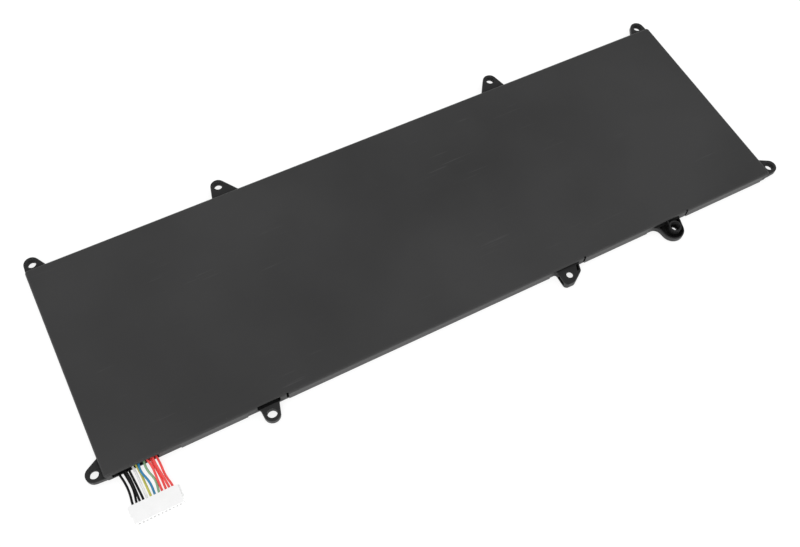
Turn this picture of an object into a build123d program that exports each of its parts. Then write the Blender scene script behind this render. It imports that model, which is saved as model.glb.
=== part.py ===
"""Internal battery pack of a laptop: a moulded frame with nine fixing ears that holds four flat
pouch cells and a long circuit board, wrapped in two dark films, with a short twelve-way lead set.

Millimetres. X runs along the pack, Y from its front wall to its back wall, Z up. The origin is at
the middle of the pack's underside, which is the face that it rests on.
"""

import os
from math import radians, tan

from build123d import *

# Pack, over its films and without its ears
PACK_LENGTH = 271.5
PACK_DEPTH = 84.5
PACK_HEIGHT = 4.5
CORNER_RADIUS = 1.2
FOLD_RADIUS = 0.9

# Films
FILM = 0.15
FLANGE_LIFT = 0.2
BOTTOM_FILM_INSET = 0.35
SKIRT_HEIGHT = 0.9
SKIRT_GAP = 0.05
WINDOW_HEADROOM = 0.55

# Moulded frame
WALL = 1.2
RIB = 1.0
CELL_COUNT = 4
BOARD_BAY_DEPTH = 19.5
SHELF = 0.5
SHELF_BAR = 2.4
SHELF_MARGIN = 2.5
SHEET = 0.2
SHEET_GAP = 0.1
SHEET_LEDGE = 0.4
SHEET_LEDGE_HEIGHT = 0.8
SLIT_WIDTH = 0.8
SLIT_FLOOR = 0.7
SLIT_FOLD_CUT = 0.6

# Opening for the leads in the front wall, from the pack's left end
LEAD_SLOT_START = 2.4
LEAD_SLOT_WIDTH = 15.8
LEAD_SLOT_DROP = 0.35
LEAD_WINDOW_END = 25.7

# Ears: plate heights, rounding and holes
EAR_BOTTOM = 1.0
EAR_THICKNESS = 2.2
EAR_ROUND = 0.3
EAR_LOBE = 2.9
EAR_ROOT = 1.0
SCREW_HOLE = 3.2
HOLE_EASE = 0.1

# Corner ears on the back wall
BACK_CORNER_INSET = 3.25
BACK_CORNER_REACH = 2.6
BACK_CORNER_FOOT = 8.0

# Middle ears on the back wall
BACK_MIDDLE_SPAN = 120.0
BACK_MIDDLE_REACH = 4.85
BACK_MIDDLE_STEEP = 4.4
BACK_MIDDLE_LONG = 6.9

# Ears on the two end walls, near the front
END_REACH = 2.5
END_FROM_FRONT = 3.25
END_FOOT = 7.9

# Ears on the front wall, at these distances from the pack's middle
FRONT_REACH = 3.4
SLOT_EAR_X = -78.9
SLOT_EAR_LEFT = 3.0
SLOT_EAR_RIGHT = 4.1
SLOT_TRAVEL = 0.3
CAP_EAR_X = 39.9
BOSS_EAR_X = 87.2

# Cap ear: a hollow block with a small locating hole through its lid
CAP_LEFT = 3.6
CAP_TIP_RIGHT = 0.3
CAP_SHOULDER = 4.9
CAP_SHOULDER_DEPTH = 3.3
CAP_RIGHT = 5.9
CAP_DEPTH = 6.35
CAP_CORNER = 1.5
CAP_BOTTOM = 0.3
CAP_WALL = 0.6
CAP_FLOOR = 0.5
CAP_LID = 0.6
CAP_HOLE = 2.5
CAP_HOLE_REACH = 3.05
CAP_SLOT = 0.9
CAP_SLOT_STOP = 0.4
CAP_WINDOW_START = 1.35
CAP_WINDOW_END = 5.0
CAP_CORE_LEFT = 0.9
CAP_CORE_RIGHT = 3.0
CAP_CORE_END = 4.3

# Boss ear: a deep tray round a tall screw boss
BOSS_LOBE = 4.4
BOSS_LOBE_SHIFT = 0.6
BOSS_FOOT_LEFT = 5.6
BOSS_FOOT_RIGHT = 4.9
BOSS_ROOT_LEFT = 2.8
BOSS_TRAY_BOTTOM = 0.3
BOSS_TRAY_HEIGHT = 2.2
BOSS_TRAY_FLOOR = 0.6
BOSS_TRAY_RIM = 0.5
BOSS_BORE = 3.7
BOSS_WALL = 0.5
BOSS_TOP_DROP = 0.3
BOSS_SEAT_HEIGHT = 1.0
BOSS_SEAT = 0.5
BOSS_SEAT_HOLE = 2.3
BOSS_WEB = 0.5
BOSS_WEB_SHIFT = 1.1
BOSS_WEB_DROP = 0.6

# Windows in the film that bare the wall beside the ears, measured from each hole
SLOT_EAR_WINDOW = (7.4, 6.9)
CAP_EAR_WINDOW = (6.2, 8.3)
BOSS_EAR_WINDOW = (9.7, 7.8)
WINDOW_MARGIN = 0.2
END_WINDOW = 2.6
CORNER_WINDOW_BACK = 2.0
CORNER_WINDOW_FRONT = 3.4
WALL_NOTCH_LEFT = 3.8
WALL_NOTCH_RIGHT = 4.6
WALL_NOTCH_DROP = 1.2
WALL_NOTCH_REACH = 0.5
WALL_NOTCH_FOLD_CUT = 0.35

# Cells
CELL_HEADROOM = 0.2
CELL_GAP = 0.4
CELL_EDGE = 0.9
TERRACE_DEPTH = 3.0
TERRACE_THICKNESS = 0.5
TERRACE_INSET = 1.5
TAPE = 0.1
TAPE_INSET = 5.0
TAB_WIDTH = 5.0
TAB_THICKNESS = 0.15
TAB_SPREAD = 20.0
TAB_WELD = 3.6
TAB_GAP = 0.5
TAB_NOTCH_DROP = 0.4

# Thermal cut-off on each positive tab
CUTOFF_LENGTH = 4.2
CUTOFF_DEPTH = 2.8
CUTOFF_HEIGHT = 0.9

# Circuit board
BOARD_THICKNESS = 0.8
BOARD_GAP = 0.5
BOARD_END_GAP = 2.0
POST_DIAMETER = 1.6
POST_CLEARANCE = 0.15
POST_RISE = 0.5
POST_COUNT = 3
POST_FROM_END = 21.4
POST_FROM_FRONT = 4.0
SHELF_BARS_PER_POST = 5

# Lead set
LEAD_DIAMETER = 0.8
LEAD_BORE_CLEARANCE = 0.1
LEAD_PITCH = 1.25
LEAD_RISE = 0.13
LEAD_END_RUN = 3.6
BEND_SHARE = 0.45
PAD_PITCH = 1.5
FIRST_PAD_FROM_LEFT = 4.6
PAD_GAP = 0.3
SOLDER_LENGTH = 1.1
SOLDER_WIDTH = 0.9
SOLDER_HEIGHT = 1.0

# Connector housing and its contacts
HOUSING_LENGTH = 6.2
HOUSING_HEIGHT = 3.2
HOUSING_END_WALL = 1.35
HOUSING_ROUND = 0.2
HOUSING_LOBE = 0.5
HOUSING_LOBE_LENGTH = 3.6
HOUSING_LOBE_HEIGHT = 2.3
HOUSING_DISTANCE = 11.7
HOUSING_FROM_LEFT = 11.8
CONTACT_WIDTH = 0.84
CONTACT_HEIGHT = 1.4
CONTACT_GAP = 0.05
CONTACT_LENGTH = 2.0
CONTACT_MOUTH = 0.5
CONTACT_SOCKET_DEPTH = 1.2
CONTACT_SETBACK = 0.9

# Where each lead wanders between its board pad and the housing: distance from the pack's left end
# and height, at evenly spaced steps along its way
LEAD_WANDER = {
    "lead_black_1": [(4.15, 1.98), (3.95, 1.95), (5.15, 1.75), (5.55, 1.65)],
    "lead_black_2": [(5.75, 2.0), (5.7, 2.15), (6.55, 1.35), (7.0, 1.25)],
    "lead_black_3": [(7.05, 2.1), (6.4, 2.75), (7.25, 2.6), (7.45, 2.3)],
    "lead_black_4": [(8.45, 1.98), (7.65, 1.95), (8.05, 1.75), (8.4, 1.7)],
    "lead_white": [(9.85, 1.98), (9.05, 1.95), (9.6, 1.8), (9.7, 1.7)],
    "lead_yellow": [(11.25, 2.0), (10.15, 2.15), (10.85, 1.4), (10.95, 1.45)],
    "lead_blue": [(12.75, 2.0), (11.75, 2.3), (10.85, 2.75), (12.55, 2.2)],
    "lead_green": [(14.25, 2.0), (13.35, 2.1), (12.8, 1.5), (14.5, 1.35)],
    "lead_red_1": [(15.45, 2.2), (13.65, 2.9), (15.05, 2.4), (14.9, 2.2)],
    "lead_red_2": [(16.85, 2.0), (15.15, 2.15), (15.65, 1.4), (16.2, 1.3)],
    "lead_red_3": [(18.15, 2.2), (16.15, 2.7), (16.15, 2.6), (16.85, 2.35)],
    "lead_red_4": [(19.45, 1.98), (17.05, 1.95), (17.65, 1.75), (17.55, 1.7)],
}

# Parts on the board: length along X, depth along Y, height, and place from the board's left end
# and from its front edge
BOARD_PARTS = {
    "gauge_chip": (5.0, 4.4, 0.9, 34.0, 5.6),
    "protector_chip": (3.0, 3.0, 0.8, 44.0, 5.2),
    "charge_switch": (3.3, 3.3, 0.95, 54.0, 6.0),
    "discharge_switch": (3.3, 3.3, 0.95, 60.0, 6.0),
    "chemical_fuse": (4.0, 3.0, 1.6, 68.0, 6.0),
    "sense_resistor": (6.4, 3.2, 0.6, 78.0, 6.0),
    "thermistor": (1.6, 0.8, 0.8, 88.0, 6.0),
}

# Small parts in two rows each beside the chips
SMALL_PART_LENGTH = 1.0
SMALL_PART_DEPTH = 0.5
SMALL_PART_HEIGHT = 0.5
SMALL_PART_PITCH = 2.2
SMALL_PART_COUNT = 9
CAPACITOR_ROW_START = 30.0
CAPACITOR_ROW_FROM_FRONT = 2.0
RESISTOR_ROW_START = 52.0
RESISTOR_ROW_FROM_FRONT = 2.0


# Derived places
LEFT = -PACK_LENGTH / 2
RIGHT = PACK_LENGTH / 2
FRONT = -PACK_DEPTH / 2
BACK = PACK_DEPTH / 2
FRAME_LEFT = LEFT + FILM
FRAME_FRONT = FRONT + FILM
FRAME_BACK = BACK - FILM
FRAME_BOTTOM = FILM
FRAME_TOP = PACK_HEIGHT - FILM
INNER_LEFT = FRAME_LEFT + WALL
INNER_RIGHT = -INNER_LEFT
INNER_FRONT = FRAME_FRONT + WALL
INNER_BACK = FRAME_BACK - WALL
BOARD_BAY_BACK = INNER_FRONT + BOARD_BAY_DEPTH
CELL_BAY_FRONT = BOARD_BAY_BACK + RIB
CELL_BAY_LENGTH = (INNER_RIGHT - INNER_LEFT - (CELL_COUNT - 1) * RIB) / CELL_COUNT
SHEET_BOTTOM = FRAME_TOP - SHEET
LEDGE_BOTTOM = SHEET_BOTTOM - SHEET_LEDGE_HEIGHT
SHELF_TOP = FRAME_BOTTOM + SHELF
BOARD_TOP = SHELF_TOP + BOARD_THICKNESS
BOARD_LEFT = INNER_LEFT + BOARD_GAP
BOARD_RIGHT = INNER_RIGHT - BOARD_END_GAP
BOARD_FRONT = INNER_FRONT + BOARD_GAP
BOARD_BACK = BOARD_BAY_BACK - BOARD_GAP
POST_Y = BOARD_FRONT + POST_FROM_FRONT
CELL_BOTTOM = FILM + TAPE
CELL_TOP = FRAME_TOP - CELL_HEADROOM
TERRACE_Z = (CELL_BOTTOM + CELL_TOP) / 2
EAR_TOP = EAR_BOTTOM + EAR_THICKNESS
WINDOW_TOP = EAR_TOP + WINDOW_HEADROOM
FRONT_EAR_Y = FRONT - FRONT_REACH
BOSS_TOP = PACK_HEIGHT - BOSS_TOP_DROP
LEAD_Z = BOARD_TOP + LEAD_RISE + LEAD_DIAMETER / 2
PAD_Y = BOARD_BACK - TAB_WELD - PAD_GAP - SOLDER_LENGTH
HOUSING_REAR = FRONT - HOUSING_DISTANCE
HOUSING_FRONT = HOUSING_REAR - HOUSING_LENGTH
LEAD_END_DEPTH = HOUSING_LENGTH - CONTACT_SETBACK - CONTACT_LENGTH
LEAD_END_Y = HOUSING_REAR - LEAD_END_DEPTH
CONTACT_ROW = LEAD_PITCH * (len(LEAD_WANDER) - 1)
CONTACT_ROW_START = LEFT + HOUSING_FROM_LEFT - CONTACT_ROW / 2


def block(x0, x1, y0, y1, z0, z1):
    """Box between two corners."""
    return Pos((x0 + x1) / 2, (y0 + y1) / 2, (z0 + z1) / 2) * Box(x1 - x0, y1 - y0, z1 - z0)


def strip(x0, x1, y0, y1):
    """Flat rectangle between two corners."""
    return Pos((x0 + x1) / 2, (y0 + y1) / 2) * Rectangle(x1 - x0, y1 - y0)


def drill(x, y, diameter, z0, z1):
    """Upright cylinder that cuts a round hole."""
    return Pos(x, y, (z0 + z1) / 2) * Cylinder(diameter / 2, z1 - z0)


def pack_outline(inset):
    """The pack's rounded outline, drawn in from its outside by the inset."""
    return RectangleRounded(
        PACK_LENGTH - 2 * inset,
        PACK_DEPTH - 2 * inset,
        CORNER_RADIUS - inset,
    )


def slab(inset, bottom, top):
    """The pack's slab, drawn in from its outside by the inset, with its top edge folded."""
    solid = extrude(Pos(0, 0, bottom) * pack_outline(inset), top - bottom)
    return fillet(solid.faces().sort_by(Axis.Z)[-1].edges(), FOLD_RADIUS - inset)


def lobe_outline(x, y, lobe, foot):
    """Flat ear: the hull of a circle round (x, y) and of its rectangular foot in the wall."""
    circle = Edge.make_circle(lobe, Plane(origin=(x, y, 0)))
    return make_hull([circle, *foot.edges()])


def ear_plate(outline, wall, roots, bottom, top):
    """Plate of an ear and its stretch of wall, with the roots blended and the edges rounded."""
    joined = outline + wall
    for point, radius in roots:
        corner = joined.vertices().sort_by_distance(Vector(*point))[0]
        joined = fillet(corner, radius)
    plate = extrude(Pos(0, 0, bottom) * joined, top - bottom)
    faces = plate.faces().sort_by(Axis.Z)
    return fillet(faces[0].edges() + faces[-1].edges(), EAR_ROUND)


def screw_hole(x, y):
    """Through hole of a plain ear, eased at its mouth."""
    hole = drill(x, y, SCREW_HOLE, 0, FRAME_TOP)
    mouth = Pos(x, y, EAR_TOP - HOLE_EASE / 2)
    return hole + mouth * Cone(SCREW_HOLE / 2, SCREW_HOLE / 2 + HOLE_EASE, HOLE_EASE)


def back_corner_ear():
    """Left corner ear of the back wall, flush with the end wall."""
    x = LEFT + BACK_CORNER_INSET
    y = BACK + BACK_CORNER_REACH
    foot_end = FRAME_LEFT + BACK_CORNER_FOOT
    foot = strip(FRAME_LEFT, foot_end, INNER_BACK, FRAME_BACK)
    wall = strip(FRAME_LEFT, foot_end + 3 * EAR_ROOT, INNER_BACK, FRAME_BACK)
    outline = lobe_outline(x, y, EAR_LOBE, foot)
    plate = ear_plate(outline, wall, [((foot_end, FRAME_BACK), EAR_ROOT)], EAR_BOTTOM, EAR_TOP)
    return plate - screw_hole(x, y)


def back_middle_ear():
    """Left one of the two middle ears of the back wall, steep on its outer side."""
    x = -BACK_MIDDLE_SPAN / 2
    y = BACK + BACK_MIDDLE_REACH
    start = x - BACK_MIDDLE_STEEP
    end = x + BACK_MIDDLE_LONG
    foot = strip(start, end, INNER_BACK, FRAME_BACK)
    wall = strip(start - 3 * EAR_ROOT, end + 3 * EAR_ROOT, INNER_BACK, FRAME_BACK)
    roots = [((start, FRAME_BACK), EAR_ROOT), ((end, FRAME_BACK), EAR_ROOT)]
    plate = ear_plate(lobe_outline(x, y, EAR_LOBE, foot), wall, roots, EAR_BOTTOM, EAR_TOP)
    return plate - screw_hole(x, y)


def end_ear():
    """Ear of the left end wall, flush with the front wall."""
    x = LEFT - END_REACH
    y = FRONT + END_FROM_FRONT
    foot_end = FRAME_FRONT + END_FOOT
    foot = strip(FRAME_LEFT, INNER_LEFT, FRAME_FRONT, foot_end)
    wall = strip(FRAME_LEFT, INNER_LEFT, FRAME_FRONT, foot_end + 3 * EAR_ROOT)
    outline = lobe_outline(x, y, EAR_LOBE, foot)
    plate = ear_plate(outline, wall, [((FRAME_LEFT, foot_end), EAR_ROOT)], EAR_BOTTOM, EAR_TOP)
    return plate - screw_hole(x, y)


def slot_ear():
    """Flat ear of the front wall, with a slotted hole."""
    start = SLOT_EAR_X - SLOT_EAR_LEFT
    end = SLOT_EAR_X + SLOT_EAR_RIGHT
    foot = strip(start, end, FRAME_FRONT, INNER_FRONT)
    wall = strip(start - 3 * EAR_ROOT, end + 3 * EAR_ROOT, FRAME_FRONT, INNER_FRONT)
    roots = [((start, FRAME_FRONT), EAR_ROOT), ((end, FRAME_FRONT), EAR_ROOT)]
    outline = lobe_outline(SLOT_EAR_X, FRONT_EAR_Y, EAR_LOBE, foot)
    plate = ear_plate(outline, wall, roots, EAR_BOTTOM, EAR_TOP)
    slot = Pos(SLOT_EAR_X, FRONT_EAR_Y) * SlotOverall(SCREW_HOLE + SLOT_TRAVEL, SCREW_HOLE)
    return plate - extrude(slot, FRAME_TOP)


def cap_wall_span():
    """Stretch of the front wall, along X, that is moulded with the cap ear."""
    return CAP_EAR_X - CAP_LEFT - 3 * EAR_ROOT, CAP_EAR_X + CAP_RIGHT + 3 * EAR_ROOT


def boss_wall_span():
    """Stretch of the front wall, along X, that is moulded with the boss ear."""
    return BOSS_EAR_X - BOSS_FOOT_LEFT - 2 * BOSS_ROOT_LEFT, BOSS_EAR_X + BOSS_FOOT_RIGHT + 3 * EAR_ROOT


def cap_ear():
    """Hollow ear of the front wall: a lid with a locating hole, open at one flank and beside it."""
    start = CAP_EAR_X - CAP_LEFT
    end = CAP_EAR_X + CAP_RIGHT
    tip = FRONT - CAP_DEPTH
    shoulder_x = CAP_EAR_X + CAP_SHOULDER
    shoulder_y = FRONT - CAP_SHOULDER_DEPTH
    corners = [
        (start, INNER_FRONT),
        (start, tip),
        (CAP_EAR_X + CAP_TIP_RIGHT, tip),
        (shoulder_x, shoulder_y),
        (end, FRAME_FRONT),
        (end, INNER_FRONT),
    ]
    outline = make_face(Polyline(*corners, close=True))
    outline = fillet([v for v in outline.vertices() if v.Y < FRONT], CAP_CORNER)
    wall = strip(*cap_wall_span(), FRAME_FRONT, INNER_FRONT)
    roots = [((start, FRAME_FRONT), EAR_ROOT), ((end, FRAME_FRONT), EAR_ROOT)]
    ear = ear_plate(outline, wall, roots, CAP_BOTTOM, EAR_TOP)
    floor = CAP_BOTTOM + CAP_FLOOR
    lid = EAR_TOP - CAP_LID
    hollow = offset(outline & strip(start, end, tip, FRAME_FRONT), -CAP_WALL)
    ear -= extrude(Pos(0, 0, floor) * hollow, lid - floor)
    window_back = FRONT - CAP_WINDOW_START
    window_front = FRONT - CAP_WINDOW_END
    ear -= block(start, start + 2 * CAP_WALL, window_front, window_back, floor, lid)
    slot_back = FRAME_FRONT - CAP_WALL
    slot_front = shoulder_y + CAP_SLOT_STOP
    slot = [
        (end - CAP_WALL, slot_back),
        (shoulder_x - CAP_WALL, slot_front),
        (shoulder_x - CAP_WALL - CAP_SLOT, slot_front),
        (end - CAP_WALL - CAP_SLOT, slot_back),
    ]
    ear -= extrude(Pos(0, 0, floor) * make_face(Polyline(*slot, close=True)), EAR_THICKNESS)
    core_start = CAP_EAR_X - CAP_CORE_LEFT
    core_end = CAP_EAR_X + CAP_CORE_RIGHT
    ear -= block(core_start, core_end, FRONT - CAP_CORE_END, FRAME_FRONT - CAP_WALL, 0, floor)
    return ear - drill(CAP_EAR_X, FRONT - CAP_HOLE_REACH, CAP_HOLE, floor, FRAME_TOP)


def boss_ear():
    """Deep tray of the front wall round a tall screw boss, with a web back to the wall."""
    x, y = BOSS_EAR_X, FRONT_EAR_Y
    start = x - BOSS_FOOT_LEFT
    end = x + BOSS_FOOT_RIGHT
    rim_top = BOSS_TRAY_BOTTOM + BOSS_TRAY_HEIGHT
    foot = strip(start, end, FRAME_FRONT, INNER_FRONT)
    wall = strip(*boss_wall_span(), FRAME_FRONT, INNER_FRONT)
    roots = [((start, FRAME_FRONT), BOSS_ROOT_LEFT), ((end, FRAME_FRONT), EAR_ROOT)]
    outline = lobe_outline(x - BOSS_LOBE_SHIFT, y, BOSS_LOBE, foot)
    tray = ear_plate(outline, wall, roots, BOSS_TRAY_BOTTOM, rim_top)
    reach = strip(start, end, y - BOSS_LOBE, FRAME_FRONT)
    hollow = offset(outline & reach, -BOSS_TRAY_RIM)
    floor = BOSS_TRAY_BOTTOM + BOSS_TRAY_FLOOR
    tray -= extrude(Pos(0, 0, floor) * hollow, BOSS_TRAY_HEIGHT)
    tray += drill(x, y, BOSS_BORE + 2 * BOSS_WALL, BOSS_TRAY_BOTTOM, BOSS_TOP)
    web_start = x - BOSS_WEB_SHIFT - BOSS_WEB / 2
    web_top = BOSS_TOP - BOSS_WEB_DROP
    tray += block(web_start, web_start + BOSS_WEB, y, INNER_FRONT, floor, web_top)
    tray -= drill(x, y, BOSS_BORE, 0, PACK_HEIGHT)
    seat_top = BOSS_SEAT_HEIGHT + BOSS_SEAT
    seat = drill(x, y, BOSS_BORE + BOSS_WALL, BOSS_SEAT_HEIGHT, seat_top)
    return tray + (seat - drill(x, y, BOSS_SEAT_HOLE, BOSS_SEAT_HEIGHT, seat_top))


def cell_bay_start(index):
    """Left side of a cell's bay."""
    return INNER_LEFT + index * (CELL_BAY_LENGTH + RIB)


def tab_places(index):
    """Middle of a cell's positive tab and of its negative one, along X."""
    middle = cell_bay_start(index) + CELL_BAY_LENGTH / 2
    return middle - TAB_SPREAD / 2, middle + TAB_SPREAD / 2


def post_places():
    """Places of the board's posts along X."""
    start = INNER_LEFT + POST_FROM_END
    step = -2 * start / (POST_COUNT - 1)
    return [start + step * i for i in range(POST_COUNT)]


def shelf_windows():
    """Openings that lighten the shelf under the board, with a bar under each post."""
    posts = post_places()
    count = SHELF_BARS_PER_POST * (POST_COUNT - 1)
    pitch = (posts[-1] - posts[0]) / count
    front = INNER_FRONT + SHELF_MARGIN
    back = BOARD_BAY_BACK - SHELF_MARGIN
    windows = []
    for i in range(count):
        start = posts[0] + pitch * i + SHELF_BAR / 2
        windows.append(block(start, start + pitch - SHELF_BAR, front, back, 0, SHELF_TOP))
    return windows


def front_windows():
    """Start and end, along the front wall, of each window that bares it beside an ear."""
    spans = [(LEFT, LEFT + LEAD_WINDOW_END)]
    for x, (before, after) in (
        (SLOT_EAR_X, SLOT_EAR_WINDOW),
        (CAP_EAR_X, CAP_EAR_WINDOW),
        (BOSS_EAR_X, BOSS_EAR_WINDOW),
    ):
        spans.append((x - before, x + after))
    spans.append((RIGHT - CORNER_WINDOW_FRONT, RIGHT))
    return spans


def slits():
    """Start and end of the slit at the far end of each window beside a front ear."""
    return [(end, end + SLIT_WIDTH) for _, end in front_windows()[1:-1]]


def cell_bays():
    """Bay of each cell, open at its top and its bottom."""
    bays = []
    for index in range(CELL_COUNT):
        x = cell_bay_start(index)
        bays.append(block(x, x + CELL_BAY_LENGTH, CELL_BAY_FRONT, INNER_BACK, 0, PACK_HEIGHT))
    return bays


def board_bay():
    """Bay of the board: its pocket, and the ledge round it that carries the insulation sheet."""
    x0, x1 = INNER_LEFT, INNER_RIGHT
    y0, y1 = INNER_FRONT, BOARD_BAY_BACK
    lip = SHEET_LEDGE
    return [
        block(x0, x1, y0, y1, SHELF_TOP, LEDGE_BOTTOM),
        block(x0 + lip, x1 - lip, y0 + lip, y1 - lip, LEDGE_BOTTOM, SHEET_BOTTOM),
        block(x0, x1, y0, y1, SHEET_BOTTOM, PACK_HEIGHT),
    ]


def tab_notches():
    """Notch for each cell's tab in the rib between the cells and the board."""
    half = TAB_WIDTH / 2 + TAB_GAP
    floor = BOARD_TOP - TAB_NOTCH_DROP
    front = BOARD_BAY_BACK - SHEET_LEDGE
    notches = []
    for index in range(CELL_COUNT):
        for x in tab_places(index):
            notches.append(block(x - half, x + half, front, CELL_BAY_FRONT, floor, FRAME_TOP))
    return notches


def front_openings():
    """Openings in the front wall: the leads' slot, the notch over the slotted ear, the slits."""
    slot_start = LEFT + LEAD_SLOT_START
    slot_end = slot_start + LEAD_SLOT_WIDTH
    slot_floor = BOARD_TOP - LEAD_SLOT_DROP
    slot_back = INNER_FRONT + SHEET_LEDGE
    notch_start = SLOT_EAR_X - WALL_NOTCH_LEFT
    notch_end = SLOT_EAR_X + WALL_NOTCH_RIGHT
    openings = [
        block(slot_start, slot_end, FRONT, slot_back, slot_floor, FRAME_TOP),
        block(
            notch_start,
            notch_end,
            FRONT - WALL_NOTCH_REACH,
            INNER_FRONT,
            EAR_TOP - WALL_NOTCH_DROP,
            FRAME_TOP,
        ),
    ]
    for start, end in slits():
        openings.append(block(start, end, FRONT, INNER_FRONT, SLIT_FLOOR, FRAME_TOP))
    return openings


def skirt_step():
    """Ring cut from the foot of the outer wall, where the bottom film's skirt lies."""
    top = SKIRT_HEIGHT + SKIRT_GAP
    return extrude(pack_outline(0), top) - extrude(pack_outline(BOTTOM_FILM_INSET + FILM), top)


def frame():
    """Moulded frame: outer wall, cell bays, board bay with its shelf, and the nine ears."""
    body = slab(FILM, FRAME_BOTTOM, FRAME_TOP) - skirt_step()
    for half in (back_corner_ear(), back_middle_ear(), end_ear()):
        body += half
        body += mirror(half, Plane.YZ)
    body += slot_ear()
    body += cap_ear()
    body += boss_ear()
    body -= cell_bays()
    body -= board_bay()
    body -= shelf_windows()
    for x in post_places():
        body += drill(x, POST_Y, POST_DIAMETER, SHELF_TOP, BOARD_TOP + POST_RISE)
    body -= tab_notches()
    body -= front_openings()
    return body


def top_film():
    """Film over the top, folded down over the four walls, with a window at each ear."""
    skin = slab(0, FLANGE_LIFT, PACK_HEIGHT) - slab(FILM, 0, FRAME_TOP)
    for start, end in front_windows():
        skin -= block(start, end, FRONT, FRONT + 2 * FILM, 0, WINDOW_TOP)
    for start, end in slits():
        skin -= block(start, end, FRONT, FRONT + SLIT_FOLD_CUT, 0, PACK_HEIGHT)
    notch_start = SLOT_EAR_X - WALL_NOTCH_LEFT
    notch_end = SLOT_EAR_X + WALL_NOTCH_RIGHT
    skin -= block(notch_start, notch_end, FRONT, FRONT + WALL_NOTCH_FOLD_CUT, 0, PACK_HEIGHT)
    margin = EAR_ROOT + WINDOW_MARGIN
    corner_end = FRAME_LEFT + BACK_CORNER_FOOT + margin
    middle_start = -BACK_MIDDLE_SPAN / 2 - BACK_MIDDLE_STEEP - margin
    middle_end = -BACK_MIDDLE_SPAN / 2 + BACK_MIDDLE_LONG + margin
    end_back = FRAME_FRONT + END_FOOT + END_WINDOW
    round_end = LEFT + CORNER_RADIUS
    for cut in (
        block(LEFT, corner_end, BACK - 2 * FILM, BACK, 0, WINDOW_TOP),
        block(middle_start, middle_end, BACK - 2 * FILM, BACK, 0, WINDOW_TOP),
        block(LEFT, round_end, BACK - CORNER_WINDOW_BACK, BACK, 0, WINDOW_TOP),
        block(LEFT, round_end, FRONT, end_back, 0, WINDOW_TOP),
    ):
        skin -= cut
        skin -= mirror(cut, Plane.YZ)
    return skin


def bottom_film():
    """Film under the frame and the cells, with a low skirt round the frame's foot."""
    skin = extrude(pack_outline(BOTTOM_FILM_INSET), SKIRT_HEIGHT)
    skin -= Pos(0, 0, FILM) * extrude(pack_outline(BOTTOM_FILM_INSET + FILM), SKIRT_HEIGHT)
    for start, end in (cap_wall_span(), boss_wall_span()):
        skin -= block(start, end, FRONT, INNER_FRONT, FILM, SKIRT_HEIGHT)
    return skin


def insulation_sheet():
    """Thin sheet over the board, seated on the ledge round its bay."""
    return block(
        INNER_LEFT + SHEET_GAP,
        INNER_RIGHT - SHEET_GAP,
        INNER_FRONT + SHEET_GAP,
        BOARD_BAY_BACK - SHEET_GAP,
        SHEET_BOTTOM,
        FRAME_TOP,
    )


def cell(index):
    """Pouch cell: a cushion-edged block with its flat sealed terrace towards the board."""
    start = cell_bay_start(index) + CELL_GAP
    end = start + CELL_BAY_LENGTH - 2 * CELL_GAP
    terrace_front = CELL_BAY_FRONT + CELL_GAP
    body_front = terrace_front + TERRACE_DEPTH
    pouch = block(start, end, body_front, INNER_BACK - CELL_GAP, CELL_BOTTOM, CELL_TOP)
    pouch = fillet(pouch.edges(), CELL_EDGE)
    terrace = block(
        start + TERRACE_INSET,
        end - TERRACE_INSET,
        terrace_front,
        body_front + CELL_EDGE,
        TERRACE_Z - TERRACE_THICKNESS / 2,
        TERRACE_Z + TERRACE_THICKNESS / 2,
    )
    return pouch + terrace


def cell_tape(index):
    """Double-sided tape that holds a cell to the bottom film."""
    start = cell_bay_start(index) + CELL_GAP + TAPE_INSET
    end = start + CELL_BAY_LENGTH - 2 * CELL_GAP - 2 * TAPE_INSET
    front = CELL_BAY_FRONT + CELL_GAP + TERRACE_DEPTH + TAPE_INSET
    back = INNER_BACK - CELL_GAP - TAPE_INSET
    return block(start, end, front, back, FILM, CELL_BOTTOM)


def tab(x):
    """Metal tab that steps from a cell's terrace down to its weld pad on the board."""
    high = TERRACE_Z - TAB_THICKNESS / 2
    lower = [
        (CELL_BAY_FRONT + CELL_GAP, high),
        (CELL_BAY_FRONT, high),
        (BOARD_BAY_BACK, BOARD_TOP),
        (BOARD_BACK - TAB_WELD, BOARD_TOP),
    ]
    upper = [(y, z + TAB_THICKNESS) for y, z in reversed(lower)]
    profile = make_face(Plane.YZ * Polyline(*lower, *upper, close=True))
    return Pos(x - TAB_WIDTH / 2, 0, 0) * extrude(profile, TAB_WIDTH, dir=(1, 0, 0))


def cutoff(x):
    """Thermal cut-off that lies on a positive tab."""
    front = BOARD_BACK - TAB_WELD + (TAB_WELD - CUTOFF_DEPTH) / 2
    bottom = BOARD_TOP + TAB_THICKNESS
    half = CUTOFF_LENGTH / 2
    return block(x - half, x + half, front, front + CUTOFF_DEPTH, bottom, bottom + CUTOFF_HEIGHT)


def circuit_board():
    """Long board on the shelf, with a hole for each post."""
    board = block(BOARD_LEFT, BOARD_RIGHT, BOARD_FRONT, BOARD_BACK, SHELF_TOP, BOARD_TOP)
    for x in post_places():
        hole = POST_DIAMETER + 2 * POST_CLEARANCE
        board -= drill(x, POST_Y, hole, SHELF_TOP, BOARD_TOP)
    return board


def board_part(length, depth, height, along, from_front):
    """Chip or block that stands on the board."""
    x = BOARD_LEFT + along
    y = BOARD_FRONT + from_front
    return Pos(x, y, BOARD_TOP + height / 2) * Box(length, depth, height)


def small_parts(row_start, from_front):
    """Row of small parts on the board, as one group."""
    size = (SMALL_PART_LENGTH, SMALL_PART_DEPTH, SMALL_PART_HEIGHT)
    steps = range(SMALL_PART_COUNT)
    row = [board_part(*size, row_start + SMALL_PART_PITCH * i, from_front) for i in steps]
    return Compound(children=row)


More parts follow.
